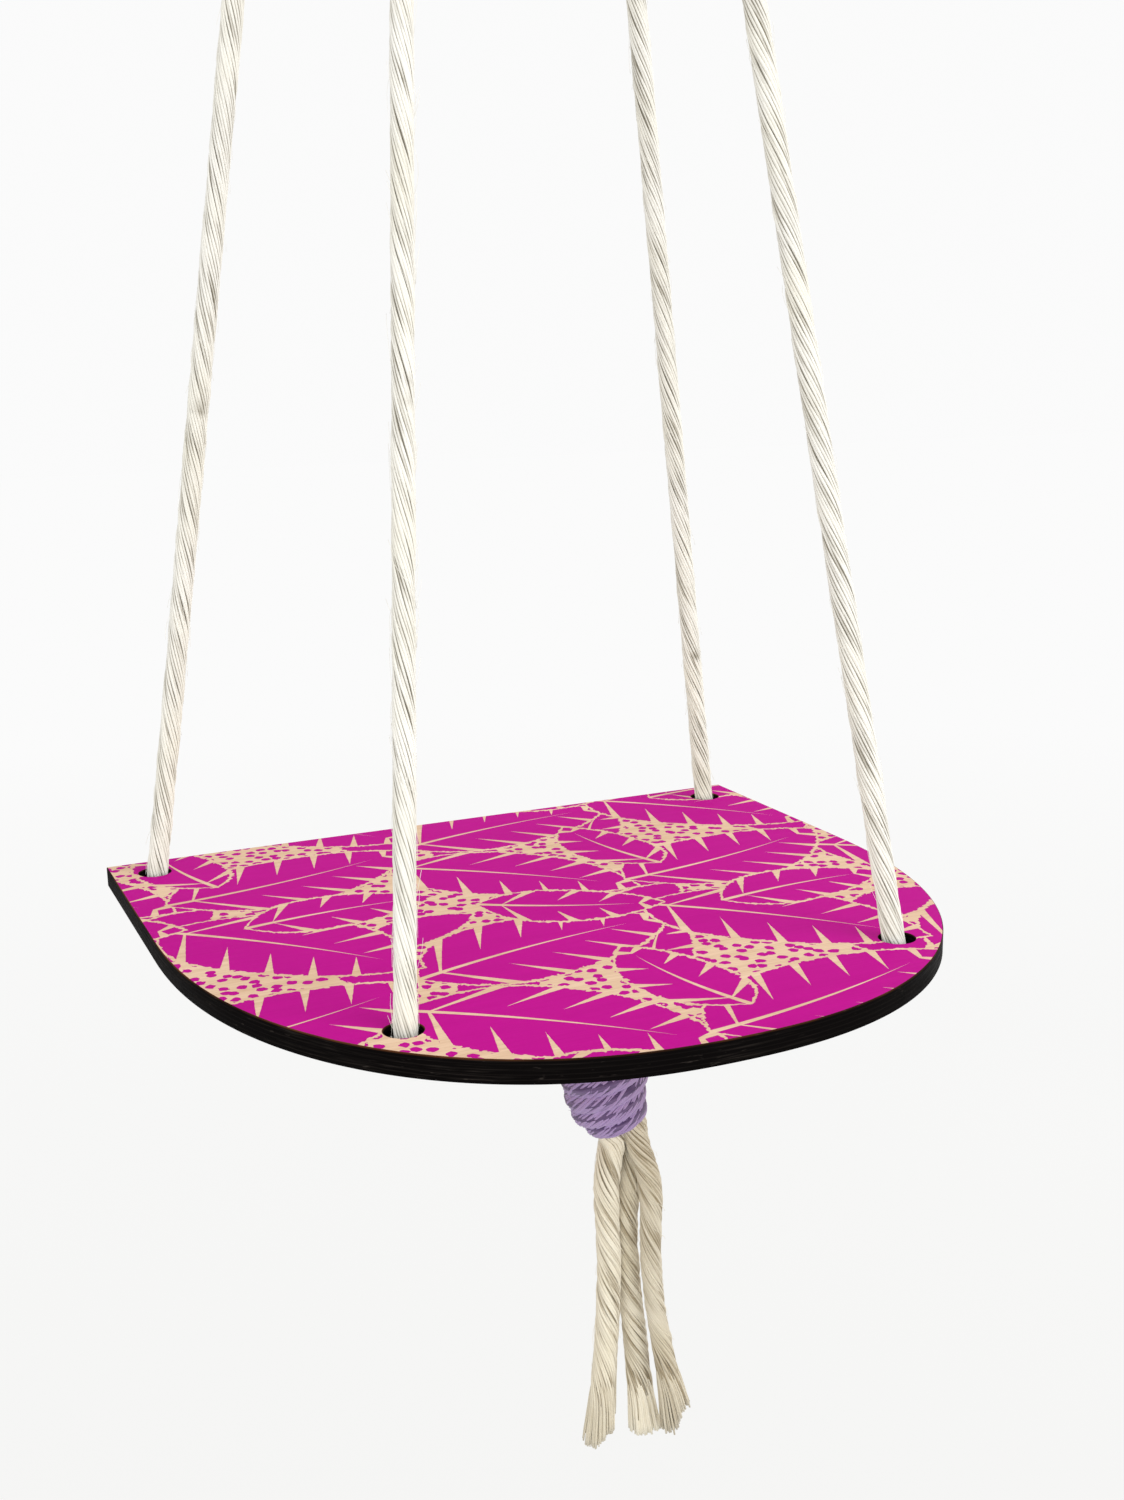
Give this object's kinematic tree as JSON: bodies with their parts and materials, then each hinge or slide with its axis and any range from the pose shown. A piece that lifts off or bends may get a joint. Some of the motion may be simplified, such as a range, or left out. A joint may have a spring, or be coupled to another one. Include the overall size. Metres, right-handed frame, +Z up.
{
  "type": "hanging rope shelf",
  "caption": "Small D-shaped plywood shelf with a printed top and charred edge, hung on cotton ropes from a ring, with a lilac knot and frayed rope ends beneath it.",
  "frame": {"origin": "the point inside the top of the ring where the wall hook bears, on the left-right middle plane", "axes": "+Z up along the ropes, +Y towards the wall, +X to the right seen from the front"},
  "size_m": [0.215, 0.202, 0.8227],
  "materials": {
    "cotton_rope": "soft single-twist natural cotton",
    "lilac_cord": "matt lilac cotton cord",
    "printed_birch": "satin magenta print on birch plywood, laser-charred edge",
    "ring_wood": "plain sanded birch"
  },
  "bodies": {
    "ring": {"hanging_ring": "ring_wood"},
    "hanger": {"rope_bight_left": "cotton_rope", "rope_bight_right": "cotton_rope", "top_whipping": "lilac_cord"},
    "shelf": {"shelf_board": "printed_birch", "rope_leg_front_left": "cotton_rope", "rope_leg_front_right": "cotton_rope", "rope_leg_back_left": "cotton_rope", "rope_leg_back_right": "cotton_rope", "rope_run_front_left": "cotton_rope", "rope_run_front_right": "cotton_rope", "rope_run_back_left": "cotton_rope", "rope_run_back_right": "cotton_rope", "knot_core": "cotton_rope", "knot_wrap": "lilac_cord"},
    "tail_front_left": {"rope_tail_front_left": "cotton_rope"},
    "tail_front_right": {"rope_tail_front_right": "cotton_rope"},
    "tail_back_left": {"rope_tail_back_left": "cotton_rope"},
    "tail_back_right": {"rope_tail_back_right": "cotton_rope"}
  },
  "joints": [
    {"name": "swing_out", "type": "hinge", "parent": "ring", "child": "hanger", "pos_m": [0, 0, -0.052], "axis": [-1, 0, 0], "range_deg": [0, 20]},
    {"name": "side_swing", "type": "hinge", "parent": "hanger", "child": "shelf", "pos_m": [0, 0, -0.09], "axis": [0, 1, 0], "range_deg": [-8, 8]},
    {"name": "tail_front_left_swing", "type": "hinge", "parent": "shelf", "child": "tail_front_left", "pos_m": [-0.00374, -0.06678, -0.71675], "axis": [-0.3658, 0.9307, 0], "range_deg": [0, 35]},
    {"name": "tail_front_right_swing", "type": "hinge", "parent": "shelf", "child": "tail_front_right", "pos_m": [0.00562, -0.07098, -0.71421], "axis": [-0.9386, -0.345, 0], "range_deg": [0, 35]},
    {"name": "tail_back_left_swing", "type": "hinge", "parent": "shelf", "child": "tail_back_left", "pos_m": [0.00057, -0.05722, -0.71665], "axis": [0.9379, 0.347, 0], "range_deg": [0, 35]},
    {"name": "tail_back_right_swing", "type": "hinge", "parent": "shelf", "child": "tail_back_right", "pos_m": [0.01008, -0.06202, -0.71402], "axis": [0.1637, -0.9865, 0], "range_deg": [0, 35]}
  ]
}
